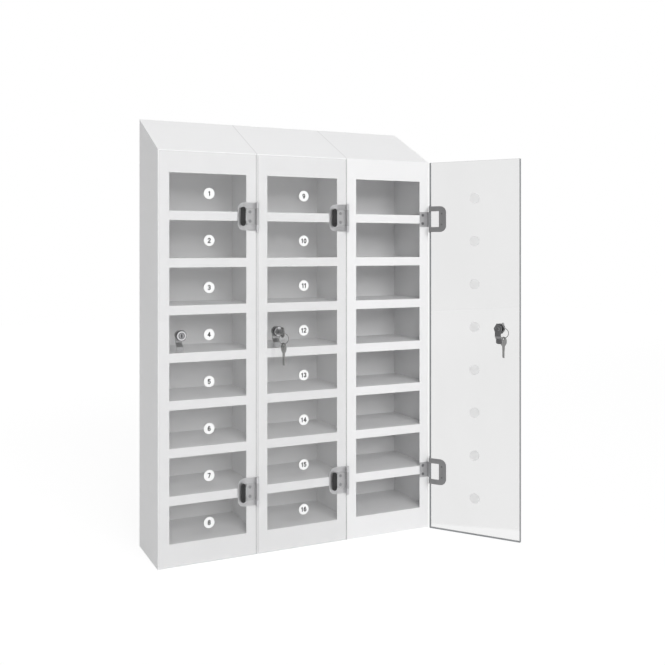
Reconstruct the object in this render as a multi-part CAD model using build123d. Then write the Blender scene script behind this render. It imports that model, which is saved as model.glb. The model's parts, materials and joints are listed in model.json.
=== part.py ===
"""Cell phone locker box: modules side by side, each a sheet steel column of open-fronted
compartments under a sloping top, closed by one full-height clear door with two hinges and a
cam lock. Millimetres, +X right as seen from the front, the front faces -Y, +Z up. The origin
is the centre of the cabinet's footprint on the floor.
"""

import math
import os

from build123d import *

os.makedirs("parts", exist_ok=True)

# Cabinet.
module_count = 3
module_width = 225.0
cabinet_depth = 160.0
cabinet_height = 975.0  # at the back
compartment_count = 8
rail_height = 20.0
bottom_rail = 50.0
top_rail = 48.0
stile_width = 25.0
back_rise = 85.0  # the back stands this much above the front
sheet = 1.2
bend_radius = 0.9
shelf_flange = 10.0
shelf_hem = 12.0
corner_relief = 14.0  # cut out of a shelf behind each stile, for the hinge nuts

# Fixings of the cabinet.
wall_hole_radius = 4.0
wall_hole_inset = 60.0  # from the module's left side
wall_hole_rise = 50.0  # above the floor of the top and bottom compartments
bolt_radius = 3.0
bolt_head_across = 10.0
bolt_head_height = 4.0
bolt_nut_height = 5.0
bolt_tip = 2.0
bolt_half_spacing = 25.0

# Door.
door_thickness = 5.0
door_floor_gap = 3.0
door_top_gap = 3.0
door_corner_radius = 1.5
door_open_angle = 127.0  # the last door stands open
disc_diameter = 24.0
disc_thickness = 1.0
disc_rise = 38.0  # above the floor of each compartment

# Hinge: the body leaf nests in the door leaf's window.
axis_inset = 2.0  # from the module's right side
leaf_sheet = 1.5
leaf_height = 62.0
leaf_length = 44.0
leaf_corner_radius = 15.0
window_height = 38.0
window_length = 26.0
knuckle_radius = 2.8
knuckle_overhang = 1.0
pin_radius = 1.25
pin_head_radius = 2.2
pin_head_height = 0.8
screw_radius = 2.0
screw_head_radius = 3.6
screw_socket_across = 3.0
screw_socket_depth = 0.9
leaf_screw_inset = 15.0  # from the hinge axis
leaf_screw_spacing = 20.4
screw_nut_across = 7.0
screw_nut_height = 3.2
pad_width = 11.0
pad_height = 42.0
pad_thickness = 2.5
pad_margin = 1.5  # from the leaf's window to the pad
pad_screw_spacing = 26.0
pad_screw_head = 1.6

# Lock.
lock_compartment = 4  # counted from the bottom, the lowest is 0
lock_inset = 49.5  # from the module's left side
lock_rise = 37.5  # above that compartment's floor
bezel_radius = 11.5
bezel_thickness = 2.5
barrel_radius = 9.5
barrel_flats = 16.5
barrel_length = 20.0
lock_nut_across = 23.0
lock_nut_height = 4.0
plug_radius = 6.0
plug_proud = 0.5
stub_across = 8.0
cam_reach = 35.5
cam_width = 14.0
cam_hub_radius = 9.0
cam_sheet = 2.0
cam_bend_start = 16.0
cam_bend_end = 25.0
cam_screw_radius = 2.4
cam_screw_depth = 4.0
cam_screw_head_radius = 4.5
cam_screw_head_height = 2.5

# Keys and their ring.
keyed_doors = (2, 3)
spare_turns = (5.0, -20.0)  # each spare key about the vertical, on its ring
key_sheet = 2.0
key_blade_width = 6.5
key_blade_length = 19.7
key_neck_width = 7.5
key_bow_radius = 11.5
key_length = 50.0
key_hole_radius = 3.0
key_hole_inset = 4.8  # from the bow's outer end
key_bit_depth = 1.6
key_bits = 4
ring_radius = 11.7  # to the middle of the wire
ring_wire_radius = 0.8

# Clearances.
leaf_gap = 0.4  # leaf to the face it turns away from
knuckle_gap = 0.3  # along and in front of the door
neck_gap = 0.25  # door's edge to the leaf's neck
neck_offset = 0.1  # leaf's neck to the hinge axis
swing_gap = 0.5  # knuckle to the next door's free edge
nest_gap = 1.1  # body leaf to the window's top and bottom
nest_end_gap = 3.0  # body leaf to the window's far end
pin_fit = 0.05
plug_fit = 0.05
thread_fit = 0.05
hole_fit = 0.15
slot_fit = 0.3
shoulder_gap = 0.3
link_gap = 0.4  # ring to the edge of a key's hole
cam_gap = 1.5  # cam's tip to the back of the stile
countersink_fit = 0.05
slot_end = 3.0  # key slot to the plug's inner end

# Heights and planes that follow.
back_height = cabinet_height
front_height = back_height - back_rise
opened_height = front_height - bottom_rail - top_rail
opening_height = (opened_height + rail_height) / compartment_count - rail_height
pitch = opening_height + rail_height
ceiling_height = bottom_rail + compartment_count * pitch
front = -cabinet_depth / 2
back = cabinet_depth / 2
frame_back = front + sheet
wall_inside = back - sheet
rise_rate = back_rise / cabinet_depth
cover_drop = sheet * math.hypot(1, rise_rate)
edge_round = min(bend_radius, 0.8 * sheet)
half_width = module_count * module_width / 2

door_back = front - leaf_sheet - leaf_gap
door_front = door_back - door_thickness
door_bottom = door_floor_gap
door_top = front_height - door_top_gap
axis_y = door_front - knuckle_gap - knuckle_radius
door_hinge_edge = -(neck_offset + leaf_sheet + neck_gap)  # from the hinge axis
door_free_edge = knuckle_radius + swing_gap - module_width
pad_centre = -(window_length + pad_margin + pad_width / 2)


def module_left(module):
    return module * module_width - half_width


def floor_height(level):
    return bottom_rail + level * pitch


def top_height(y):
    return front_height + (y - front) * rise_rate


def under_height(y):
    return top_height(y) - cover_drop


def axis_x(module):
    return module_left(module) + module_width - axis_inset


hinge_heights = [floor_height(level) - rail_height / 2 for level in (1, compartment_count - 1)]
lock_height = floor_height(lock_compartment) + lock_rise


def block(x, y, z):
    """A box from its low and high corner along each axis."""
    size = [high - low for low, high in (x, y, z)]
    middle = [(high + low) / 2 for low, high in (x, y, z)]
    return Pos(*middle) * Box(*size)


def side_prism(points, x_low, x_high):
    """An outline in the YZ plane, extruded from x_low to x_high."""
    face = Plane.YZ * make_face(Polyline(*points, close=True))
    return Pos(x_low, 0, 0) * extrude(face, amount=x_high - x_low)


def rod_y(radius, y_low, y_high, x=0.0, z=0.0):
    turned = Rot(90, 0, 0) * Cylinder(radius, y_high - y_low)
    return Pos(x, (y_low + y_high) / 2, z) * turned


def rod_x(radius, x_low, x_high, y=0.0, z=0.0):
    turned = Rot(0, 90, 0) * Cylinder(radius, x_high - x_low)
    return Pos((x_low + x_high) / 2, y, z) * turned


def rod_z(radius, z_low, z_high):
    return Pos(0, 0, (z_low + z_high) / 2) * Cylinder(radius, z_high - z_low)


def front_prism(sketch, y_low, y_high):
    """A sketch drawn as seen from the front, x right and y up, extruded in depth."""
    face = Rot(90, 0, 0) * sketch
    return Pos(0, y_high, 0) * extrude(face, amount=y_high - y_low, dir=(0, -1, 0))


def hexagon(across):
    return RegularPolygon(across / 2, 6, major_radius=False)


# Cabinet pieces.


def wall_holes(module):
    return [
        (module_left(module) + wall_hole_inset, floor_height(level) + wall_hole_rise)
        for level in (0, compartment_count - 1)
    ]


top_bolt_height = ceiling_height + shelf_flange + bolt_head_across
bolt_places = [
    (y, z)
    for z in (bottom_rail / 2, top_bolt_height)
    for y in (-bolt_half_spacing, bolt_half_spacing)
]


def casing(module):
    """Both sides and the back, bent from one sheet."""
    left = module_left(module)
    right = left + module_width
    outline = [
        (frame_back, 0),
        (back, 0),
        (back, under_height(back)),
        (frame_back, under_height(frame_back)),
    ]
    shell = side_prism(outline, left, right)
    shell -= block(
        (left + sheet, right - sheet), (front, wall_inside), (-sheet, back_height)
    )
    corners = shell.edges().filter_by(Axis.Z).group_by(Axis.Y)[-1]
    shell = fillet(corners, edge_round)
    for x, z in wall_holes(module):
        shell -= rod_y(wall_hole_radius, wall_inside - sheet, back + sheet, x, z)
    for y, z in bolt_places:
        hole = bolt_radius + hole_fit
        if module > 0:
            shell -= rod_x(hole, left - sheet, left + 2 * sheet, y, z)
        if module < module_count - 1:
            shell -= rod_x(hole, right - 2 * sheet, right + sheet, y, z)
    return shell


def front_frame(module):
    """Stiles, top rail and bottom rail, cut from one sheet."""
    left = module_left(module)
    right = left + module_width
    outline = [
        (front, 0),
        (frame_back, 0),
        (frame_back, under_height(frame_back)),
        (front, under_height(front)),
    ]
    frame = side_prism(outline, left, right)
    corners = frame.edges().filter_by(Axis.Z).group_by(Axis.Y)[0]
    frame = fillet(corners, edge_round)
    frame -= block(
        (left + stile_width, right - stile_width),
        (front - sheet, frame_back + sheet),
        (bottom_rail, front_height - top_rail),
    )
    for height in hinge_heights:
        for step in (-leaf_screw_spacing / 2, leaf_screw_spacing / 2):
            x = axis_x(module) - leaf_screw_inset
            hole = screw_radius + hole_fit
            frame -= rod_y(hole, front - sheet, frame_back + sheet, x, height + step)
    return frame


def sloping_top(module):
    left = module_left(module)
    outline = [
        (front, under_height(front)),
        (back, under_height(back)),
        (back, back_height),
        (front, front_height),
    ]
    cover = side_prism(outline, left, left + module_width)
    upper = cover.faces().sort_by(Axis.Z)[-1].edges()
    sides = [edge for edge in upper if edge.length > cabinet_depth * 0.99]
    sides = [edge for edge in sides if abs(edge.center().X - left) < sheet
             or abs(edge.center().X - left - module_width) < sheet]
    crease = upper.filter_by(Axis.X).sort_by(Axis.Y)[0]
    return fillet(sides + [crease], edge_round)


def tray(module, height, flange_side, y_start):
    """A plate between the sides, its edges turned down (-1) or up (1)."""
    left = module_left(module) + sheet
    right = left + module_width - 2 * sheet
    plate_z = (height - sheet, height)
    if flange_side < 0:
        flange_z = (height - shelf_flange, height)
    else:
        flange_z = (height - sheet, height - sheet + shelf_flange)
    depth = (y_start, wall_inside)
    result = block((left, right), depth, plate_z)
    result += block((left, left + sheet), depth, flange_z)
    result += block((right - sheet, right), depth, flange_z)
    result += block((left, right), (wall_inside - sheet, wall_inside), flange_z)
    return result


def shelf(module, level):
    """A tray whose front lip stands flush between the stiles, with a hem turned back."""
    height = floor_height(level)
    across = (module_left(module) + stile_width, module_left(module + 1) - stile_width)
    wide_start = frame_back + corner_relief
    lip_bottom = height - rail_height
    result = tray(module, height, -1, wide_start)
    result += block(across, (front, wide_start + sheet), (height - sheet, height))
    result += block(across, (front, frame_back), (lip_bottom, height))
    result += block(across, (front, front + shelf_hem), (lip_bottom, lip_bottom + sheet))
    return result


def shelves(module):
    return [shelf(module, level) for level in range(1, compartment_count)]


def end_trays(module):
    """The lowest compartment's floor and the highest one's ceiling."""
    return [
        tray(module, bottom_rail, -1, frame_back),
        tray(module, ceiling_height, 1, frame_back),
    ]


def base_panel(module):
    return tray(module, sheet, 1, frame_back)


def module_boundaries():
    return [module_left(module) for module in range(1, module_count)]


def module_bolts():
    bolts = []
    for x in module_boundaries():
        for y, z in bolt_places:
            head = Rot(0, -90, 0) * extrude(hexagon(bolt_head_across), bolt_head_height)
            bolt = Pos(x - sheet, y, z) * head
            tip = x + sheet + bolt_nut_height + bolt_tip
            bolts.append(bolt + rod_x(bolt_radius, x - sheet, tip, y, z))
    return bolts


def module_nuts():
    nuts = []
    for x in module_boundaries():
        for y, z in bolt_places:
            nut = Rot(0, 90, 0) * extrude(hexagon(bolt_head_across), bolt_nut_height)
            nut = Pos(x + sheet, y, z) * nut
            bore = rod_x(bolt_radius + thread_fit, x, x + 2 * bolt_nut_height, y, z)
            nuts.append(nut - bore)
    return nuts


# Hinge pieces, with the hinge axis as local Z and the cabinet towards local +Y.

frame_offset = front - axis_y
door_back_offset = door_back - axis_y
door_front_offset = door_front - axis_y
neck = (-(neck_offset + leaf_sheet), -neck_offset)
body_leaf_length = window_length - nest_end_gap
body_leaf_half = window_height / 2 - nest_gap
knuckle_half = leaf_height / 2 + knuckle_overhang


def pad_screw_heights():
    return (-pad_screw_spacing / 2, pad_screw_spacing / 2)


def leaf_screw_heights():
    return (-leaf_screw_spacing / 2, leaf_screw_spacing / 2)


def door_leaf():
    plate_y = (door_back_offset, door_back_offset + leaf_sheet)
    half = leaf_height / 2
    leaf = block((-leaf_length, neck[1]), plate_y, (-half, half))
    far_corners = leaf.edges().filter_by(Axis.Y).group_by(Axis.X)[0]
    leaf = fillet(far_corners, min(leaf_corner_radius, 0.45 * leaf_height))
    leaf += block(neck, (0, plate_y[1]), (-half, half))
    window = (-window_height / 2, window_height / 2)
    leaf -= block((-window_length, leaf_sheet), (-leaf_sheet, 2 * plate_y[1]), window)
    for low, high in ((-knuckle_half, window[0]), (window[1], knuckle_half)):
        leaf += rod_z(knuckle_radius, low, high)
    leaf -= rod_z(pin_radius + pin_fit, -2 * knuckle_half, 2 * knuckle_half)
    for z in pad_screw_heights():
        leaf -= rod_y(screw_radius + thread_fit, 0, 2 * plate_y[1], pad_centre, z)
    return leaf


def body_leaf():
    plate_y = (frame_offset - leaf_sheet, frame_offset)
    tall = (-body_leaf_half, body_leaf_half)
    leaf = block((-body_leaf_length, neck[1]), plate_y, tall)
    leaf += block(neck, (0, plate_y[1]), tall)
    knuckle = window_height / 2 - knuckle_gap
    leaf += rod_z(knuckle_radius, -knuckle, knuckle)
    leaf -= rod_z(pin_radius + pin_fit, -2 * knuckle, 2 * knuckle)
    for z in leaf_screw_heights():
        leaf -= Pos(-leaf_screw_inset, 0, z) * countersunk(countersink_fit)
    return leaf


def screw_socket(face):
    """The hexagon socket cut into a screw's head from its face."""
    socket = hexagon(screw_socket_across)
    return front_prism(socket, face - sheet, face + screw_socket_depth)


def countersunk(extra=0.0):
    """A countersunk head and its shank; extra widens them all round, to cut their hole."""
    face = frame_offset - leaf_sheet
    sink = 0.8 * leaf_sheet
    tip = frame_offset + sheet + screw_nut_height
    cone = Cone(screw_radius + extra, screw_head_radius + extra, sink)
    head = Pos(0, face + sink / 2, 0) * Rot(90, 0, 0) * cone
    return head + rod_y(screw_radius + extra, face + sink / 2, tip)


def leaf_screw():
    return countersunk() - screw_socket(frame_offset - leaf_sheet)


def leaf_screw_nut():
    start = frame_offset + sheet
    nut = front_prism(hexagon(screw_nut_across), start, start + screw_nut_height)
    return nut - rod_y(screw_radius + thread_fit, 0, 2 * start + screw_nut_height)


def hinge_pin():
    end = knuckle_half + knuckle_gap
    pin = rod_z(pin_radius, -end, end)
    for low in (-end - pin_head_height, end):
        pin += rod_z(pin_head_radius, low, low + pin_head_height)
    return pin


def hinge_pad():
    shape = SlotOverall(pad_height, pad_width, rotation=90)
    outer = door_front_offset - pad_thickness
    pad = front_prism(shape, outer, door_front_offset)
    rim = pad.faces().sort_by(Axis.Y)[0].edges()
    pad = fillet(rim, min(1.0, 0.3 * pad_thickness))
    for z in pad_screw_heights():
        sunk = outer + pad_screw_head + hole_fit
        pad -= rod_y(screw_head_radius + hole_fit, outer - sheet, sunk, 0, z)
        pad -= rod_y(screw_radius + hole_fit, outer, door_front_offset + sheet, 0, z)
    return Pos(pad_centre, 0, 0) * pad


def pad_screws():
    outer = door_front_offset - pad_thickness + hole_fit
    tip = door_back_offset + leaf_sheet
    screws = []
    for z in pad_screw_heights():
        screw = rod_y(screw_head_radius, outer, outer + pad_screw_head)
        screw += rod_y(screw_radius, outer, tip)
        screws.append(Pos(pad_centre, 0, z) * (screw - screw_socket(outer)))
    return screws


# Lock pieces, with the lock's axis as local Y and the door's outer face at local y = 0.

cam_front = barrel_length
plug_face = -(bezel_thickness + plug_proud)
tip_front = frame_back - door_front + cam_gap


def barrel_outline(extra=0.0):
    radius = barrel_radius + extra
    return Circle(radius) & Rectangle(barrel_flats + 2 * extra, 2 * radius)


def lock_body():
    bezel = rod_y(bezel_radius, -bezel_thickness, 0)
    rim = bezel.faces().sort_by(Axis.Y)[0].edges()
    bezel = fillet(rim, 0.8 * bezel_thickness)
    body = bezel + front_prism(barrel_outline(), 0, barrel_length)
    bore_end = barrel_length + bezel_thickness
    body -= rod_y(plug_radius + plug_fit, -bore_end, bore_end)
    mouth = body.edges().group_by(Axis.Y)[0].sort_by(SortBy.RADIUS)[0]
    return fillet(mouth, 0.5 * bezel_thickness)


def lock_nut():
    low = door_thickness
    nut = front_prism(hexagon(lock_nut_across), low, low + lock_nut_height)
    return nut - rod_y(barrel_radius + thread_fit, 0, 2 * barrel_length)


def lock_plug():
    plug = rod_y(plug_radius, plug_face, barrel_length)
    plug = chamfer(plug.faces().sort_by(Axis.Y)[0].edges(), 0.8 * plug_proud)
    half = stub_across / 2
    plug += block((-half, half), (barrel_length, cam_front + cam_sheet), (-half, half))
    slot_x = key_sheet / 2 + slot_fit
    slot_z = key_blade_width / 2 + slot_fit
    slot_y = (plug_face - sheet, barrel_length - slot_end)
    plug -= block((-slot_x, slot_x), slot_y, (-slot_z, slot_z))
    stub_end = cam_front + cam_sheet
    bore = cam_screw_radius + thread_fit
    return plug - rod_y(bore, stub_end - cam_screw_depth, stub_end + cam_sheet)


def lock_cam():
    """A cranked arm that hangs from the plug's stub, its tip nearer the door."""
    outline = [
        (cam_front, cam_hub_radius),
        (cam_front, -cam_bend_start),
        (tip_front, -cam_bend_end),
        (tip_front, -cam_reach),
        (tip_front + cam_sheet, -cam_reach),
        (tip_front + cam_sheet, -cam_bend_end - cam_sheet / 2),
        (cam_front + cam_sheet, -cam_bend_start - cam_sheet / 2),
        (cam_front + cam_sheet, cam_hub_radius),
    ]
    bar = side_prism(outline, -cam_hub_radius, cam_hub_radius)
    seen = Circle(cam_hub_radius)
    seen += Pos(0, -cam_reach / 2) * Rectangle(cam_width, cam_reach)
    cam = bar & front_prism(seen, 0, 2 * barrel_length)
    tip = cam.edges().filter_by(Axis.Y).group_by(Axis.Z)[0]
    cam = fillet(tip, 0.3 * cam_width)
    half = stub_across / 2 + hole_fit
    return cam - block((-half, half), (0, 2 * barrel_length), (-half, half))


def cam_screw():
    start = cam_front + cam_sheet
    head = rod_y(cam_screw_head_radius, start, start + cam_screw_head_height)
    rim = head.faces().sort_by(Axis.Y)[-1].edges()
    head = chamfer(rim, 0.3 * cam_screw_head_height)
    socket = front_prism(hexagon(cam_screw_radius * 1.6), start + sheet, 2 * start)
    return head + rod_y(cam_screw_radius, start - cam_screw_depth, start) - socket


# A key lies in its own YZ plane, tip at local y = 0, bow towards local -Y.

key_hole_place = -(key_length - key_hole_inset)
key_tip = barrel_length - slot_end - shoulder_gap * 2
key_blade_length = key_tip - plug_face + shoulder_gap


def key():
    half = key_blade_width / 2
    step = 0.8 * key_blade_length / (2 * key_bits)
    top = [(0, half - key_bit_depth), (-half / 2, half), (-key_blade_length, half)]
    low = [(-key_blade_length, -half)]
    for count in range(key_bits):
        place = -key_blade_length + (2 * count + 1) * step
        deep = -half + key_bit_depth * (0.6 + 0.4 * (count % 2))
        low += [(place, -half), (place + step * 0.6, deep), (place + step * 1.2, deep)]
    low += [(-half / 2, -half), (0, -half + key_bit_depth)]
    thick = key_sheet / 2
    result = side_prism(top + low, -thick, thick)
    bow_y = key_bow_radius - key_length
    neck_half = key_neck_width / 2
    result += block((-thick, thick), (bow_y, -key_blade_length), (-neck_half, neck_half))
    result += rod_x(key_bow_radius, -thick, thick, bow_y)
    return result - rod_x(key_hole_radius, -key_sheet, key_sheet, key_hole_place)


ring_y = key_tip + key_hole_place
link_drop = key_hole_radius - ring_wire_radius - link_gap
ring_top = -link_drop  # the wire's centre where the key in the lock carries it
ring_bottom = ring_top - 2 * ring_radius
spare_hole = ring_bottom - link_drop


def key_in_lock():
    return Pos(0, key_tip, 0) * key()


def key_ring():
    wire = Torus(ring_radius, ring_wire_radius)
    return Pos(0, ring_y, ring_top - ring_radius) * Rot(90, 0, 0) * wire


def spare_key(turn):
    """The key that hangs from the ring, turned by so many degrees about the vertical."""
    hanging = Rot(90, 0, 0) * Pos(0, -key_hole_place, 0) * key()
    return Pos(0, ring_y, spare_hole) * Rot(0, 0, turn) * Rot(180, 0, 0) * hanging


# Doors.


def is_open(module):
    return module == module_count - 1


def door_swing(module):
    """Turns a closed door's piece about its hinge axis to where the door stands."""
    angle = door_open_angle if is_open(module) else 0
    centre = (axis_x(module), axis_y, 0)
    return Pos(*centre) * Rot(0, 0, angle) * Pos(*[-value for value in centre])


def lock_x(module):
    return module_left(module) + lock_inset


def disc_x(module):
    return axis_x(module) + (door_hinge_edge + door_free_edge) / 2


def disc_heights():
    return [floor_height(level) + disc_rise for level in range(compartment_count)]


def door_panel(module):
    x = (axis_x(module) + door_free_edge, axis_x(module) + door_hinge_edge)
    panel = block(x, (door_front, door_back), (door_bottom, door_top))
    panel = fillet(panel.edges().filter_by(Axis.Y), door_corner_radius)
    through = (door_front - sheet, door_back + sheet)
    for height in hinge_heights:
        for z in pad_screw_heights():
            hole = screw_radius + hole_fit
            panel -= rod_y(hole, *through, axis_x(module) + pad_centre, height + z)
    opening = front_prism(barrel_outline(hole_fit), *through)
    return panel - Pos(lock_x(module), 0, lock_height) * opening


def number_discs(module):
    return [
        rod_y(disc_diameter / 2, door_front - disc_thickness, door_front, disc_x(module), z)
        for z in disc_heights()
    ]


def hinge_places(module):
    return [Pos(axis_x(module), axis_y, height) for height in hinge_heights]


def lock_place(module):
    return Pos(lock_x(module), door_front, lock_height)


def save(name, solids):
    """Writes one node; a node of several pieces is a group of separate solids."""
    if not isinstance(solids, list):
        solids = [solids]
    single = [piece for shape in solids for piece in shape.solids()]
    shape = single[0] if len(single) == 1 else Compound(children=single)
    export_step(shape, f"parts/{name}.step")


def write_cabinet():
    for module in range(module_count):
        number = module + 1
        save(f"casing_{number}", casing(module))
        save(f"front_frame_{number}", front_frame(module))
        save(f"sloping_top_{number}", sloping_top(module))
        save(f"base_panel_{number}", base_panel(module))
        save(f"shelves_{number}", shelves(module))
        save(f"end_trays_{number}", end_trays(module))
    save("module_bolts", module_bolts())
    save("module_nuts", module_nuts())


def write_hinges():
    places = [place for module in range(module_count) for place in hinge_places(module)]
    save("hinge_body_leaves", [place * body_leaf() for place in places])
    save("hinge_pins", [place * hinge_pin() for place in places])
    screws = [
        place * Pos(-leaf_screw_inset, 0, z) for place in places for z in leaf_screw_heights()
    ]
    save("hinge_leaf_screws", [place * leaf_screw() for place in screws])
    save("hinge_leaf_nuts", [place * leaf_screw_nut() for place in screws])


def write_door(module):
    number = module + 1
    swing = door_swing(module)
    hinges = [swing * place for place in hinge_places(module)]
    lock = swing * lock_place(module)
    save(f"door_panel_{number}", swing * door_panel(module))
    save(f"number_discs_{number}", [swing * disc for disc in number_discs(module)])
    save(f"hinge_door_leaves_{number}", [place * door_leaf() for place in hinges])
    save(f"hinge_pads_{number}", [place * hinge_pad() for place in hinges])
    save(
        f"hinge_pad_screws_{number}",
        [place * screw for place in hinges for screw in pad_screws()],
    )
    save(f"lock_body_{number}", lock * lock_body())
    save(f"lock_nut_{number}", lock * lock_nut())
    save(f"lock_plug_{number}", lock * lock_plug())
    save(f"lock_cam_{number}", lock * lock_cam())
    save(f"cam_screw_{number}", lock * cam_screw())
    if number in keyed_doors:
        save(f"key_in_lock_{number}", lock * key_in_lock())
        save(f"key_ring_{number}", lock * key_ring())
        turn = spare_turns[keyed_doors.index(number)]
        save(f"spare_key_{number}", lock * spare_key(turn))


write_cabinet()
write_hinges()
for door in range(module_count):
    write_door(door)
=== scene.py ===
"""Studio scene of the cell phone locker box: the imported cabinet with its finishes, the
numbers on its doors, a pale floor and soft light."""

import json
import math

import bpy
from mathutils import Matrix, Vector
from mathutils.geometry import delaunay_2d_cdt


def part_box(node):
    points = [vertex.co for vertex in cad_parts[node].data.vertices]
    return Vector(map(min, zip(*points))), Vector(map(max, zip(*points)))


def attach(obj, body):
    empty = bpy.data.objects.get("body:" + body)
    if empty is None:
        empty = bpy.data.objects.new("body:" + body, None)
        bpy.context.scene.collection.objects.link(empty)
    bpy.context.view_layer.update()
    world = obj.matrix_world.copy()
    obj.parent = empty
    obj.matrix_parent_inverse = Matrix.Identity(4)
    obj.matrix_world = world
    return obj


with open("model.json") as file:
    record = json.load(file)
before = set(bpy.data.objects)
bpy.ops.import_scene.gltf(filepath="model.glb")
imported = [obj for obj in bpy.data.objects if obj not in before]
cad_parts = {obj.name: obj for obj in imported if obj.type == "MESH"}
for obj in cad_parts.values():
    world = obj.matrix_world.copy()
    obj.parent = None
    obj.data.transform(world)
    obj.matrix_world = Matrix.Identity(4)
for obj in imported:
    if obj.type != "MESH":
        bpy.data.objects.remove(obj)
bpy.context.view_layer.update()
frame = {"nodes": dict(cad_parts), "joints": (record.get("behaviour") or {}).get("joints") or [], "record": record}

MM = 0.001
nodes = frame["nodes"]
joints = {joint["name"]: joint for joint in frame["joints"]}
MODULES = sum(1 for name in nodes if name.startswith("casing_"))
ROWS = len(frame["record"]["physics"]["openings"]) // MODULES
FRONT_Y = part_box("front_frame_1")[0].y


# The doors. One that stands open at rest is worked out as if it were closed.


def closed_angle(number):
    """The turn that closes a door from rest, which is 0 for a door at rest closed."""
    return math.radians(joints[f"door_{number}_swing"]["range_deg"][0])


def closing_matrix(number):
    """Takes a point of a door from its place at rest to its place when closed."""
    joint = joints[f"door_{number}_swing"]
    turn = Matrix.Rotation(closed_angle(number), 4, Vector(joint["axis"]))
    place = Matrix.Translation(Vector(joint["pos_m"]))
    return place @ turn @ place.inverted()


def at_rest(number, direction):
    """Turns a direction of the closed door to where it points on the door at rest."""
    return Matrix.Rotation(-closed_angle(number), 3, "Z") @ Vector(direction)


def closed_box(node, number):
    """The lowest and the highest corner that a door's node has when closed."""
    matrix = closing_matrix(number)
    points = [matrix @ vertex.co for vertex in nodes[node].data.vertices]
    low = Vector([min(point[axis] for point in points) for axis in range(3)])
    high = Vector([max(point[axis] for point in points) for axis in range(3)])
    return low, high


# Materials. Each is built from nodes, with its colour varied or its surface textured.

NOISE_LOW = 0.3
NOISE_HIGH = 0.7


class Surface:
    """A material with a Principled shader and a few helpers to wire nodes to it."""

    def __init__(self, name, colour, roughness, metallic=0.0):
        self.material = bpy.data.materials.new(name)
        self.material.use_nodes = True
        self.tree = self.material.node_tree
        self.shader = self.tree.nodes["Principled BSDF"]
        self.output = self.tree.nodes["Material Output"]
        self.shader.inputs["Base Color"].default_value = (*colour, 1)
        self.shader.inputs["Roughness"].default_value = roughness
        self.shader.inputs["Metallic"].default_value = metallic
        self.place = self.add("ShaderNodeTexCoord").outputs["Object"]
        self.material.diffuse_color = (*colour, 1)

    def add(self, kind, **settings):
        node = self.tree.nodes.new(kind)
        for key, value in settings.items():
            setattr(node, key, value)
        return node

    def link(self, source, target):
        self.tree.links.new(source, target)

    def noise(self, scale, detail=2.0, stretch=(1, 1, 1)):
        mapping = self.add("ShaderNodeMapping")
        mapping.inputs["Scale"].default_value = stretch
        self.link(self.place, mapping.inputs["Vector"])
        node = self.add("ShaderNodeTexNoise")
        node.inputs["Scale"].default_value = scale
        node.inputs["Detail"].default_value = detail
        self.link(mapping.outputs["Vector"], node.inputs["Vector"])
        return node.outputs["Fac"]

    def math(self, operation, *values):
        node = self.add("ShaderNodeMath", operation=operation)
        for socket, value in zip(node.inputs, values):
            if isinstance(value, (int, float)):
                socket.default_value = value
            else:
                self.link(value, socket)
        return node.outputs["Value"]

    def along(self, vector, direction):
        """How far a vector reaches along a direction."""
        node = self.add("ShaderNodeVectorMath", operation="DOT_PRODUCT")
        node.inputs[1].default_value = direction
        self.link(vector, node.inputs[0])
        return node.outputs["Value"]

    def coordinate(self, axis):
        """Where a point of the object lies on an axis."""
        node = self.add("ShaderNodeSeparateXYZ")
        self.link(self.place, node.inputs[0])
        return node.outputs[axis]

    def rays(self, *kinds):
        """1 for rays of any of these kinds and 0 for others."""
        path = self.add("ShaderNodeLightPath")
        found = path.outputs[kinds[0]]
        for kind in kinds[1:]:
            found = self.math("MAXIMUM", found, path.outputs[kind])
        return found

    def mix(self, factor, first, second):
        """A shader that goes from first to second as factor goes from 0 to 1."""
        node = self.add("ShaderNodeMixShader")
        for socket, value in zip(node.inputs, (factor, first, second)):
            self.link(value, socket)
        return node.outputs["Shader"]

    def between(self, factor, first, second):
        """A colour that goes from first to second as factor goes from 0 to 1."""
        node = self.add("ShaderNodeMix", data_type="RGBA")
        self.link(factor, node.inputs["Factor"])
        for socket, value in ((node.inputs["A"], first), (node.inputs["B"], second)):
            if isinstance(value, tuple):
                socket.default_value = (*value, 1)
            else:
                self.link(value, socket)
        return node.outputs["Result"]

    def ramp(self, value, start, end, low=0.0, high=1.0):
        """Goes from low to high as value goes from start to end, and no further."""
        node = self.add("ShaderNodeMapRange")
        node.inputs["From Min"].default_value = start
        node.inputs["From Max"].default_value = end
        node.inputs["To Min"].default_value = low
        node.inputs["To Max"].default_value = high
        self.link(value, node.inputs["Value"])
        return node.outputs["Result"]

    def spread(self, noise, low=0.0, high=1.0):
        """Maps a noise's middle range onto low to high."""
        return self.ramp(noise, NOISE_LOW, NOISE_HIGH, low, high)

    def bump(self, height, strength, distance):
        node = self.add("ShaderNodeBump")
        node.inputs["Strength"].default_value = strength
        node.inputs["Distance"].default_value = distance
        self.link(height, node.inputs["Height"])
        self.link(node.outputs["Normal"], self.shader.inputs["Normal"])

    def colour(self, source):
        self.link(source, self.shader.inputs["Base Color"])

    def roughness(self, source):
        self.link(source, self.shader.inputs["Roughness"])

    def show(self, shader):
        """Puts a shader on the surface in place of the Principled one."""
        self.link(shader, self.output.inputs["Surface"])


def tinted(colour, factor):
    return tuple(value * factor for value in colour)


WHITE_PAINT = (0.84, 0.84, 0.845)
PAINT_CLOUD = 0.985
PAINT_CLOUD_SCALE = 5.0
PAINT_GLOSS_SCALE = 90.0
PAINT_ROUGHNESS = (0.38, 0.48)
PEEL_SCALE = 620.0
PEEL_GRAIN_SCALE = 2400.0
PEEL_GRAIN_SHARE = 0.35
PEEL_STRENGTH = 0.12
PEEL_DEPTH = 0.25 * MM
# Painted shade in the grooves of the module seams: its half width, and how dark it paints the front frame and the
# sloping top.
SEAM_HALF = 1.15 * MM
FRONT_SEAM_SHADE_LEVEL = 0.25
TOP_SEAM_SHADE_LEVEL = 0.65


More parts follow.
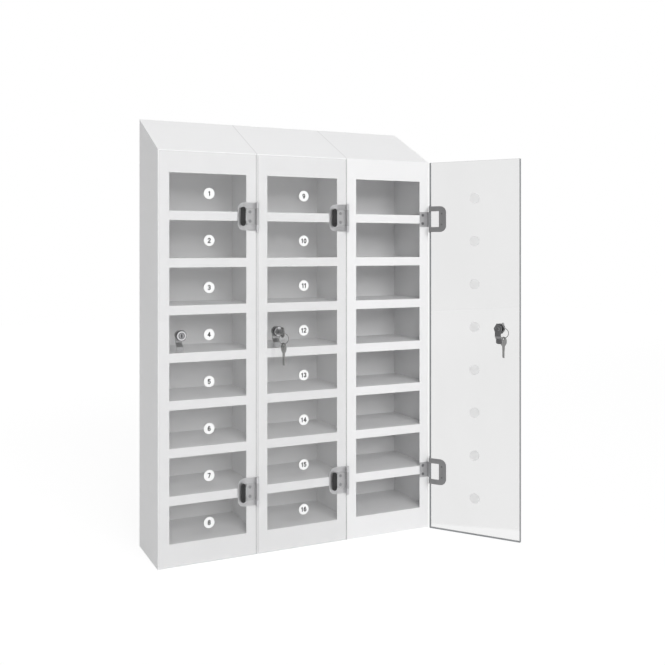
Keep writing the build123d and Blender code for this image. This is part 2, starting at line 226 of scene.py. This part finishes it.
def seam_shade(surface):
    """0 in the middle of the seams beside the middle module and 1 away from them: the mask of the painted shade in
    the seams.
    """
    low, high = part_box("front_frame_2")
    middle, half = (low.x + high.x) / 2, (high.x - low.x) / 2
    offset = surface.math("SUBTRACT", surface.coordinate("X"), middle)
    beyond = surface.math("SUBTRACT", surface.math("ABSOLUTE", offset), half)
    return surface.ramp(surface.math("ABSOLUTE", beyond), 0.0, SEAM_HALF)


def white_powder_coat(name, seam_shade_level=1.0):
    """White satin powder coat with its fine even orange-peel texture. Seams between the
    modules get painted shade, darkened down to the given seam level."""
    surface = Surface(name, WHITE_PAINT, roughness=0.42)
    cloud = surface.spread(surface.noise(PAINT_CLOUD_SCALE, 3.0))
    coat = surface.between(cloud, tinted(WHITE_PAINT, PAINT_CLOUD), WHITE_PAINT)
    if seam_shade_level < 1:
        # Painted shade: the paint goes darker in the seams, where the groove would be in shade.
        seam_painted_shade = tinted(WHITE_PAINT, seam_shade_level)
        coat = surface.between(seam_shade(surface), seam_painted_shade, coat)
    surface.colour(coat)
    peel = surface.noise(PEEL_SCALE, 3.0)
    grain = surface.math("MULTIPLY", surface.noise(PEEL_GRAIN_SCALE), PEEL_GRAIN_SHARE)
    surface.bump(surface.math("ADD", peel, grain), PEEL_STRENGTH, PEEL_DEPTH)
    gloss = surface.noise(PAINT_GLOSS_SCALE, 4.0)
    surface.roughness(surface.spread(gloss, *PAINT_ROUGHNESS))
    return surface.material


# What faces a door's inner or outer side by more than this is a face, and less an edge.
FACE_LIMIT = 0.5


def facing_inward(surface, number):
    """1 on faces to a door's inner side, -1 on those to its outer side, 0 on edges."""
    normal = surface.add("ShaderNodeTexCoord").outputs["Normal"]
    return surface.along(normal, at_rest(number, (0, 1, 0)))


SHEET_TINT = 0.958
SMEAR_TINT = 0.99
SMEAR_SCALE = 6.0
SMEAR_STRETCH = (2.0, 2.0, 0.7)
SHEET_GLOSS = 0.072
SHEET_ROUGHNESS = 0.03
GRAZING_GLOSS = 0.6
SCHLICK_POWER = 5.0
LAMP_TINT = 0.997
# Painted light and painted shade on the sheet's edges, standing in for what the sheet sees behind it, and the
# width of a painted dark band along the edges of a door that stands open.
EDGE_PAINTED_LIGHT = (0.72, 0.73, 0.74)
EDGE_PAINTED_SHADE = (0.25, 0.26, 0.27)
EDGE_ROUGHNESS = 0.12
EDGE_CLEAR = 0.8
SHADE_BAND_WIDTH = 2.3 * MM
SHADE_BAND_BLUR = 0.2
WHITE = (1.0, 1.0, 1.0)
SOLID_VIEW = (0.9, 0.93, 0.94, 0.3)


def painted_shade_band(surface, number):
    """1 along the upright edges and the foot of a door's faces, and 0 inside them: the band of painted shade on a
    door that stands open.
    """
    along = at_rest(number, (1, 0, 0))
    pivot = Vector(joints[f"door_{number}_swing"]["pos_m"])
    reach = along.dot(pivot)
    low, high = closed_box(f"door_panel_{number}", number)
    across = surface.along(surface.place, along)
    from_free = surface.math("SUBTRACT", across, low.x - pivot.x + reach)
    from_hinge = surface.math("SUBTRACT", high.x - pivot.x + reach, across)
    from_foot = surface.math("SUBTRACT", surface.coordinate("Z"), low.z)
    nearest = surface.math("MINIMUM", from_free, from_hinge)
    nearest = surface.math("MINIMUM", nearest, from_foot)
    start, end = (SHADE_BAND_WIDTH * (1 + blur) for blur in (-SHADE_BAND_BLUR, SHADE_BAND_BLUR))
    return surface.ramp(nearest, start, end, 1.0, 0.0)


def clear_acrylic(number):
    """A clear sheet with polished edges, which lets the lamps' light through. Its edges get
    painted light on a closed door, for the white front behind it, and painted shade on a door that stands open,
    with nothing white behind it, where a band along the edges of its faces is painted dark too."""
    stands_open = closed_angle(number) < 0
    # Painted shade on the edges of a door that stands open, painted light on those of a closed one.
    edge = EDGE_PAINTED_SHADE if stands_open else EDGE_PAINTED_LIGHT
    surface = Surface(f"clear_acrylic_{number}", edge, EDGE_ROUGHNESS)
    flat = surface.math("ABSOLUTE", facing_inward(surface, number))
    clear_share = surface.math("GREATER_THAN", flat, FACE_LIMIT)
    if stands_open:
        # Painted shade: a dark band along the edges of the faces of a door that stands open.
        clear_of_shade_band = surface.math("SUBTRACT", 1.0, painted_shade_band(surface, number))
        clear_share = surface.math("MULTIPLY", clear_share, clear_of_shade_band)
    else:
        clear_share = surface.math("MAXIMUM", clear_share, EDGE_CLEAR)

    grazing = surface.add("ShaderNodeLayerWeight").outputs["Facing"]
    schlick = surface.math("POWER", grazing, SCHLICK_POWER)
    gloss_share = surface.math("MULTIPLY_ADD", schlick, GRAZING_GLOSS, SHEET_GLOSS)

    clear = surface.add("ShaderNodeBsdfTransparent")
    smear = surface.spread(surface.noise(SMEAR_SCALE, 3.0, SMEAR_STRETCH))
    low, high = tinted(WHITE, SHEET_TINT * SMEAR_TINT), tinted(WHITE, SHEET_TINT)
    surface.link(surface.between(smear, low, high), clear.inputs["Color"])
    gloss = surface.add("ShaderNodeBsdfGlossy")
    gloss.inputs["Roughness"].default_value = SHEET_ROUGHNESS
    sheet = surface.mix(gloss_share, clear.outputs[0], gloss.outputs[0])
    whole = surface.mix(clear_share, surface.shader.outputs[0], sheet)

    lamp_ray = surface.rays("Is Shadow Ray", "Is Diffuse Ray")
    lamp_pass = surface.add("ShaderNodeBsdfTransparent")
    lamp_pass.inputs["Color"].default_value = (*tinted(WHITE, LAMP_TINT), 1)
    surface.show(surface.mix(lamp_ray, whole, lamp_pass.outputs[0]))
    surface.material.diffuse_color = SOLID_VIEW
    return surface.material


METAL_GRAIN_SCALE = 900.0
METAL_GRAIN_STRENGTH = 0.06
METAL_GRAIN_DEPTH = 0.05 * MM
METAL_CLOUD = 0.92
METAL_CLOUD_SCALE = 60.0
METAL_SMOOTHER = 0.8
METAL_ROUGHER = 1.25


def metal_surface(name, colour, roughness, metallic=1.0):
    """Plated steel with a faint grain in its roughness and surface."""
    surface = Surface(name, colour, roughness, metallic)
    grain = surface.noise(METAL_GRAIN_SCALE, 3.0)
    low, high = roughness * METAL_SMOOTHER, roughness * METAL_ROUGHER
    surface.roughness(surface.spread(grain, low, high))
    cloud = surface.spread(surface.noise(METAL_CLOUD_SCALE, 3.0))
    surface.colour(surface.between(cloud, tinted(colour, METAL_CLOUD), colour))
    surface.bump(grain, METAL_GRAIN_STRENGTH, METAL_GRAIN_DEPTH)
    return surface


def metal(name, colour, roughness, metallic=1.0):
    return metal_surface(name, colour, roughness, metallic).material


BEZEL_FACE = (0.58, 0.58, 0.59)
BEZEL_RIM_SHADE = (0.12, 0.12, 0.125)
BEZEL_RIM_END = 0.85
BEZEL_FACE_START = 0.995
SCREW_BLACK = (0.05, 0.05, 0.05)
SCREW_BARE = (0.45, 0.45, 0.46)


def bezel_chrome(number):
    """Chrome with painted shade on its turned sides, standing in for their dark reflections, round the bright
    face.
    """
    surface = metal_surface(f"bezel_chrome_{number}", BEZEL_FACE, 0.16)
    flat = surface.math("ABSOLUTE", facing_inward(surface, number))
    face = surface.ramp(flat, BEZEL_RIM_END, BEZEL_FACE_START)
    # Painted reflection: the turned sides of the bezel are painted dark, for the dark they would reflect.
    surface.colour(surface.between(face, BEZEL_RIM_SHADE, BEZEL_FACE))
    return surface.material


def pad_screw(number):
    """A blackened screw whose end on the door's inner side is bare."""
    surface = metal_surface(f"pad_screw_{number}", SCREW_BLACK, 0.4)
    inner = surface.math("GREATER_THAN", facing_inward(surface, number), FACE_LIMIT)
    surface.colour(surface.between(inner, SCREW_BLACK, SCREW_BARE))
    return surface.material


PAD_BLACK = (0.012, 0.012, 0.013)
PAD_ROUGHNESS = (0.32, 0.46)
PAD_GRAIN_SCALE = 1500.0
DISC_WHITE = (0.92, 0.92, 0.92)
DISC_PALE = (0.93, 0.93, 0.93)
DISC_DULL = (0.905, 0.905, 0.905)
DISC_CLOUD_SCALE = 120.0
DISC_GRAIN_SCALE = 1800.0
INK_BLACK = (0.006, 0.006, 0.007)
INK_GRAIN_SCALE = 3000.0


def black_plastic():
    surface = Surface("black_plastic", PAD_BLACK, roughness=0.38)
    grain = surface.noise(PAD_GRAIN_SCALE, 3.0)
    surface.bump(grain, strength=0.15, distance=0.08 * MM)
    surface.roughness(surface.spread(grain, *PAD_ROUGHNESS))
    return surface.material


def disc_laminate():
    surface = Surface("disc_laminate", DISC_WHITE, roughness=0.3)
    cloud = surface.spread(surface.noise(DISC_CLOUD_SCALE))
    surface.colour(surface.between(cloud, DISC_DULL, DISC_PALE))
    surface.bump(surface.noise(DISC_GRAIN_SCALE), strength=0.04, distance=0.05 * MM)
    return surface.material


def digit_ink():
    surface = Surface("digit_ink", INK_BLACK, roughness=0.45)
    surface.bump(surface.noise(INK_GRAIN_SCALE), strength=0.05, distance=0.03 * MM)
    return surface.material


white_paint = white_powder_coat("white_powder_coat")
# The front frame and the sloping top carry painted shade along their module seams.
frame_paint_seam_shade = white_powder_coat("white_powder_coat_front_seam_shade", FRONT_SEAM_SHADE_LEVEL)
top_paint_seam_shade = white_powder_coat("white_powder_coat_top_seam_shade", TOP_SEAM_SHADE_LEVEL)
hinge_plate = metal("hinge_plate", (0.73, 0.73, 0.74), 0.48)
satin_plate = metal("satin_plate", (0.54, 0.54, 0.55), 0.5, 0.5)
plug_chrome = metal("plug_chrome", (0.36, 0.36, 0.37), 0.22)
lock_steel = metal("lock_steel", (0.4, 0.4, 0.41), 0.36)
key_nickel = metal("key_nickel", (0.31, 0.31, 0.305), 0.26)
zinc_plate = metal("zinc_plate", (0.48, 0.48, 0.49), 0.34)
leaf_screw_zinc = metal("leaf_screw_zinc", (0.3, 0.3, 0.31), 0.4)
pad_plastic = black_plastic()
disc_face = disc_laminate()
ink = digit_ink()

FINISH = {
    "casing": white_paint,
    "shelves": white_paint,
    "end_trays": white_paint,
    "base_panel": white_paint,
    "front_frame": frame_paint_seam_shade,
    "sloping_top": top_paint_seam_shade,
    "number_discs": disc_face,
    "hinge_door_leaves": hinge_plate,
    "hinge_body_leaves": satin_plate,
    "hinge_pins": hinge_plate,
    "hinge_pads": pad_plastic,
    "hinge_leaf_screws": leaf_screw_zinc,
    "hinge_leaf_nuts": zinc_plate,
    "module_bolts": zinc_plate,
    "module_nuts": zinc_plate,
    "lock_plug": plug_chrome,
    "lock_nut": zinc_plate,
    "lock_cam": lock_steel,
    "cam_screw": lock_steel,
    "key_in_lock": key_nickel,
    "key_ring": key_nickel,
    "spare_key": key_nickel,
}
# Finishes that depend on which way a door faces, and for the sheet's painted edge light and shade also on whether
# the door stands open, so each door has its own.
DOOR_FINISH = {
    "door_panel": clear_acrylic,
    "lock_body": bezel_chrome,
    "hinge_pad_screws": pad_screw,
}
EDGE_RADIUS = {
    "key_in_lock": 0.3 * MM,
    "spare_key": 0.3 * MM,
    "lock_cam": 0.3 * MM,
    "lock_nut": 0.35 * MM,
    "hinge_door_leaves": 0.25 * MM,
    "hinge_body_leaves": 0.25 * MM,
}
EDGE_SEGMENTS = 2
EDGE_ANGLE = math.radians(50)
GLUE_DEPTH = 0.03 * MM


def kind_and_number(name):
    """What a node is and which one of its kind, or 0 where there is only one."""
    kind, _, number = name.rpartition("_")
    return (kind, int(number)) if number.isdigit() else (name, 0)


def round_edges(node, radius):
    bevel = node.modifiers.new("edge", "BEVEL")
    bevel.width = radius
    bevel.segments = EDGE_SEGMENTS
    bevel.limit_method = "ANGLE"
    bevel.angle_limit = EDGE_ANGLE
    bevel.use_clamp_overlap = True


def press_on(node):
    """Sinks a glued piece a hair into what it sits on, so that no air shows between."""
    grow = node.modifiers.new("glue", "DISPLACE")
    grow.strength = GLUE_DEPTH
    grow.mid_level = 0.0


for name, node in nodes.items():
    kind, number = kind_and_number(name)
    finish = DOOR_FINISH[kind](number) if kind in DOOR_FINISH else FINISH[kind]
    node.data.materials.clear()
    node.data.materials.append(finish)
    if kind in EDGE_RADIUS:
        round_edges(node, EDGE_RADIUS[kind])
    if kind == "number_discs":
        press_on(node)


# The numbers on the door discs. Digits are drawn in millimetres as strokes with round
# ends, each centred on the origin. ACROSS and UP are half a digit's width and height.

STROKE_WIDTH = 2.1
ACROSS = 2.45
UP = 4.35
DIGIT_GAP = 2.1
DIGIT_DEPTH = 0.15
ROUND_POINTS = 12
ARC_STEPS = 18
WELD = 1e-5


def arc(centre, reach, start, end):
    """Points along part of an ellipse between two angles."""
    turns = [start + (end - start) * step / ARC_STEPS for step in range(ARC_STEPS + 1)]
    angles = [math.radians(turn) for turn in turns]
    return [
        (centre[0] + reach[0] * math.cos(angle), centre[1] + reach[1] * math.sin(angle))
        for angle in angles
    ]


def half_turned(strokes):
    return [[(-x, -y) for x, y in stroke] for stroke in strokes]


SIX = [
    arc((0, -0.42 * UP), (ACROSS, 0.58 * UP), 0, 360),
    arc((0, -0.3 * UP), (ACROSS, 1.3 * UP), 180, 55),
]
STROKES = {
    "0": [arc((0, 0), (ACROSS, UP), 0, 360)],
    "1": [[(-1.3, 0.62 * UP), (0.5, UP), (0.5, -UP)]],
    "2": [
        arc((0, UP / 2), (ACROSS, UP / 2), 170, -35) + [(-ACROSS, -UP), (ACROSS, -UP)]
    ],
    "3": [
        arc((0, UP / 2), (0.95 * ACROSS, UP / 2), 155, -90),
        arc((0, -UP / 2), (ACROSS, UP / 2), 90, -155),
    ],
    "4": [
        [(0.9, -UP), (0.9, UP)]
        + [(-1.15 * ACROSS, -0.42 * UP), (1.1 * ACROSS, -0.42 * UP)]
    ],
    "5": [
        [(0.9 * ACROSS, UP), (-0.75 * ACROSS, UP)]
        + arc((0, -0.36 * UP), (ACROSS, 0.64 * UP), 145, -150)
    ],
    "6": SIX,
    "7": [[(-ACROSS, UP), (ACROSS, UP), (-0.7, -UP)]],
    "8": [
        arc((0, UP / 2), (0.85 * ACROSS, UP / 2), 0, 360),
        arc((0, -UP / 2), (ACROSS, UP / 2), 0, 360),
    ],
    "9": half_turned(SIX),
}


def stroke_outlines(stroke):
    """A bar for each step of a stroke and a round at each of its points."""
    points = [Vector(point) for point in stroke]
    radius = STROKE_WIDTH / 2
    turns = [2 * math.pi * step / ROUND_POINTS for step in range(ROUND_POINTS)]
    rim = [radius * Vector((math.cos(turn), math.sin(turn))) for turn in turns]
    outlines = [[point + offset for offset in rim] for point in points]
    for here, after in zip(points, points[1:]):
        side = (after - here).orthogonal().normalized() * STROKE_WIDTH / 2
        outlines.append([here - side, after - side, after + side, here + side])
    return outlines


def inked_triangles(outlines):
    """Points and triangles that cover what lies within any of the outlines once."""
    points, faces = [], []
    for outline in outlines:
        faces.append(list(range(len(points), len(points) + len(outline))))
        points += outline
    points, _, triangles, _, _, sources = delaunay_2d_cdt(points, [], faces, 0, WELD)
    return points, [face for face, source in zip(triangles, sources) if source]


def number_mesh(text, name):
    """Bold digits side by side, centred on the origin."""
    outlines, reach = [], 0.0
    for digit in text:
        strokes = STROKES[digit]
        low = min(x for stroke in strokes for x, _ in stroke)
        high = max(x for stroke in strokes for x, _ in stroke)
        for stroke in strokes:
            outlines += stroke_outlines([(x + reach - low, y) for x, y in stroke])
        reach += high - low + STROKE_WIDTH + DIGIT_GAP
    middle = Vector(((reach - STROKE_WIDTH - DIGIT_GAP) / 2, 0))
    points, triangles = inked_triangles(outlines)
    used = sorted({index for face in triangles for index in face})
    order = {index: place for place, index in enumerate(used)}
    top = [(*(points[index] - middle), DIGIT_DEPTH / 2) for index in used]
    bottom = [(x, y, -z) for x, y, z in top]
    front = [[order[index] for index in face] for face in triangles]
    back = [[index + len(top) for index in reversed(face)] for face in front]
    steps = {step for face in front for step in zip(face, face[1:] + face[:1])}
    rim = sorted((here, after) for here, after in steps if (after, here) not in steps)
    walls = [(after, here, here + len(top), after + len(top)) for here, after in rim]
    mesh = bpy.data.meshes.new(name)
    corners = [Vector(point) * MM for point in top + bottom]
    mesh.from_pydata(corners, [], front + back + walls)
    return mesh


def add_numbers(number):
    """Numbers one door's discs from the top, carrying on from the door before."""
    low, high = closed_box(f"number_discs_{number}", number)
    radius = (high.x - low.x) / 2
    pitch = (high.z - low.z - 2 * radius) / (ROWS - 1)
    opening = closing_matrix(number).inverted()
    upright = Matrix.Rotation(math.radians(90), 4, "X")
    for row in range(ROWS):
        text = str((number - 1) * ROWS + row + 1)
        name = f"number_{text}"
        mesh = number_mesh(text, name)
        middle_y = low.y - DIGIT_DEPTH * MM / 2
        place = Vector((low.x + radius, middle_y, high.z - radius - row * pitch))
        mesh.transform(opening @ Matrix.Translation(place) @ upright)
        mesh.materials.append(ink)
        piece = bpy.data.objects.new(name, mesh)
        bpy.context.scene.collection.objects.link(piece)
        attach(piece, f"door_{number}")


for number in range(1, MODULES + 1):
    add_numbers(number)


# The camera. Its middle and focal length are in the picture's pixels.

PICTURE_SIDE = 665.0
PRINCIPAL_X = 300.0
PRINCIPAL_Y = 248.83
FOCAL_PIXELS = 845.8
SENSOR = 36.0
CAMERA_PLACE = (-805.1 * MM, FRONT_Y - 1750.9 * MM, 678.9 * MM)
CAMERA_YAW = -24.5


def add_camera():
    lens = bpy.data.cameras.new("camera")
    lens.sensor_width = SENSOR
    lens.lens = SENSOR * FOCAL_PIXELS / PICTURE_SIDE
    lens.shift_x = 0.5 - PRINCIPAL_X / PICTURE_SIDE
    lens.shift_y = PRINCIPAL_Y / PICTURE_SIDE - 0.5
    camera = bpy.data.objects.new("camera", lens)
    camera.location = CAMERA_PLACE
    camera.rotation_euler = (math.radians(90), 0, math.radians(CAMERA_YAW))
    bpy.context.scene.collection.objects.link(camera)
    bpy.context.scene.camera = camera


# Floor, background and light.

SQUARE = ((-1, -1), (1, -1), (1, 1), (-1, 1))
FLOOR_HALF = 6.0
FLOOR_COLOUR = (0.92, 0.92, 0.92)
FLOOR_SHADED = (0.25, 0.25, 0.25)
FLOOR_CLOUD = 0.995
FLOOR_CLOUD_SCALE = 1.5
# The floor's glow at two places along Y: it grows as the light of the lamps falls off.
FLOOR_GLOW = ((-0.5, 0.816), (4.0, 0.906))
AMBIENT = 0.38
CARD_COLOUR = (0.3, 0.3, 0.3)
CARD_GLOW = (0.27, 0.33)
CARD_CLOUD_SCALE = 2.0
CARD_HEIGHT = 1.2
CARD_FOOT = ((0.285, -0.085), (0.385, -0.335))
LAMP_TARGET = (0, 0, 0.5)
KEY_LAMP = {"place": (-0.68, -5.94, 3.3), "size": (4.3, 3.5), "power": 260}
TOP_LAMP = {"place": (0.2, -0.4, 4.5), "size": (3.0, 3.0), "power": 22}


def add_square(name, corners, material):
    mesh = bpy.data.meshes.new(name)
    mesh.from_pydata(corners, [], [(0, 1, 2, 3)])
    mesh.materials.append(material)
    square = bpy.data.objects.new(name, mesh)
    bpy.context.scene.collection.objects.link(square)
    return square


def floor_white():
    """White where it is seen, with the object's shadow on it, and plain elsewhere."""
    surface = Surface("floor", FLOOR_COLOUR, roughness=0.9)
    surface.shader.inputs["Specular IOR Level"].default_value = 0.0
    cloud = surface.spread(surface.noise(FLOOR_CLOUD_SCALE))
    dull = tinted(FLOOR_COLOUR, FLOOR_CLOUD)
    surface.colour(surface.between(cloud, dull, FLOOR_COLOUR))
    shaded = surface.add("ShaderNodeBsdfDiffuse")
    shaded.inputs["Color"].default_value = (*FLOOR_SHADED, 1)
    glow = surface.add("ShaderNodeEmission")
    (near, near_level), (far, far_level) = FLOOR_GLOW
    level = surface.ramp(surface.coordinate("Y"), near, far, near_level, far_level)
    surface.link(level, glow.inputs["Strength"])
    both = surface.add("ShaderNodeAddShader")
    surface.link(shaded.outputs[0], both.inputs[0])
    surface.link(glow.outputs[0], both.inputs[1])
    seen = surface.rays("Is Camera Ray", "Is Glossy Ray", "Is Transmission Ray")
    surface.show(surface.mix(seen, surface.shader.outputs[0], both.outputs[0]))
    return surface.material


def add_floor():
    corners = [(x * FLOOR_HALF, y * FLOOR_HALF, 0) for x, y in SQUARE]
    floor = add_square("floor", corners, floor_white())


def add_world():
    """White where it is seen, also in metal and glass, and plain light elsewhere."""
    world = bpy.data.worlds.new("studio")
    world.use_nodes = True
    tree = world.node_tree
    background = tree.nodes["Background"]
    background.inputs["Color"].default_value = (1, 1, 1, 1)
    rays = tree.nodes.new("ShaderNodeLightPath")
    seen = rays.outputs["Is Camera Ray"]
    for kind in ("Is Glossy Ray", "Is Transmission Ray"):
        either = tree.nodes.new("ShaderNodeMath")
        either.operation = "MAXIMUM"
        tree.links.new(seen, either.inputs[0])
        tree.links.new(rays.outputs[kind], either.inputs[1])
        seen = either.outputs[0]
    strength = tree.nodes.new("ShaderNodeMix")
    strength.inputs["A"].default_value = AMBIENT
    strength.inputs["B"].default_value = 1.0
    tree.links.new(seen, strength.inputs["Factor"])
    tree.links.new(strength.outputs["Result"], background.inputs["Strength"])
    bpy.context.scene.world = world


def grey_glow():
    surface = Surface("grey_card", CARD_COLOUR, roughness=0.9)
    glow = surface.add("ShaderNodeEmission")
    cloud = surface.noise(CARD_CLOUD_SCALE)
    surface.link(surface.spread(cloud, *CARD_GLOW), glow.inputs["Strength"])
    surface.show(glow.outputs[0])
    return surface.material


def add_card():
    """A grey card upright beside the open door, seen in reflections only."""
    start, end = (Vector((*foot, 0)) for foot in CARD_FOOT)
    up = Vector((0, 0, CARD_HEIGHT))
    corners = [start, end, end + up, start + up]
    card = add_square("card_beside_door", corners, grey_glow())
    card.visible_camera = False
    card.visible_diffuse = False
    card.visible_transmission = False
    card.visible_shadow = False


def add_lamp(name, place, size, power):
    light = bpy.data.lights.new(name, "AREA")
    light.shape = "RECTANGLE"
    light.size, light.size_y = size
    light.energy = power
    lamp = bpy.data.objects.new(name, light)
    lamp.location = place
    direction = Vector(LAMP_TARGET) - Vector(place)
    lamp.rotation_euler = direction.to_track_quat("-Z", "Y").to_euler()
    bpy.context.scene.collection.objects.link(lamp)
    lamp.visible_camera = False
    lamp.visible_glossy = False


bpy.context.scene.view_settings.view_transform = "Standard"
add_camera()
add_floor()
add_world()
add_card()
add_lamp("key", **KEY_LAMP)
add_lamp("top", **TOP_LAMP)
